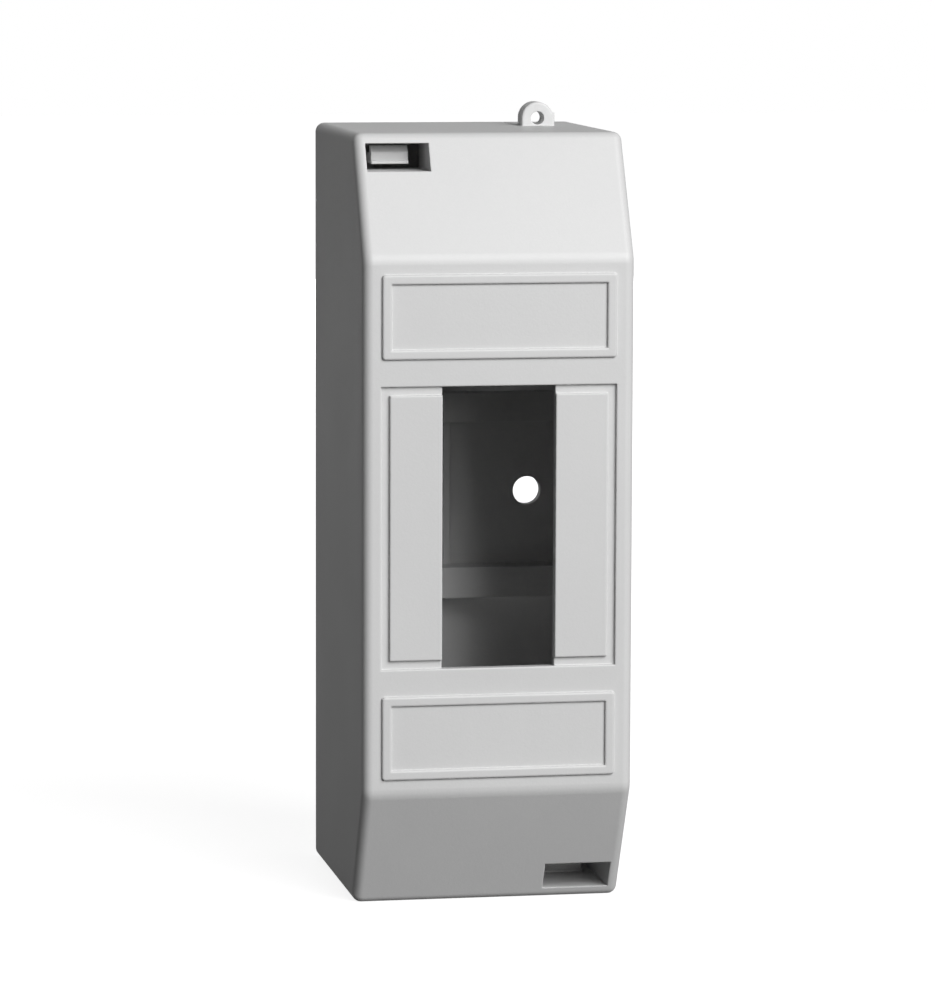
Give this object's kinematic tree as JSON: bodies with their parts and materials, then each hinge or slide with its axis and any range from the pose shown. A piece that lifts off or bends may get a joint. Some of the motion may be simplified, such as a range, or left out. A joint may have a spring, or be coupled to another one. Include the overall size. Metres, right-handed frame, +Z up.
{
  "type": "modular breaker box",
  "caption": "Surface-mounted breaker box: a deep clip-on cover with a breaker window, break-out tabs and label frames over a wall base with a moulded mounting rail.",
  "frame": {"origin": "centre of the wall face, midway between the wall screws", "axes": "+X to the right seen from the front, +Y into the wall, +Z up"},
  "size_m": [0.044, 0.0505, 0.1289],
  "materials": {
    "cover_plastic": "light grey fine-textured moulded plastic",
    "base_plastic": "light grey moulded plastic"
  },
  "bodies": {
    "base": {"wall_base": "base_plastic"},
    "cover": {"front_cover": "cover_plastic"}
  },
  "joints": [
    {"name": "cover_slide", "type": "slide", "parent": "base", "child": "cover", "axis": [0, -1, 0], "range_m": [0, 0.06]}
  ]
}
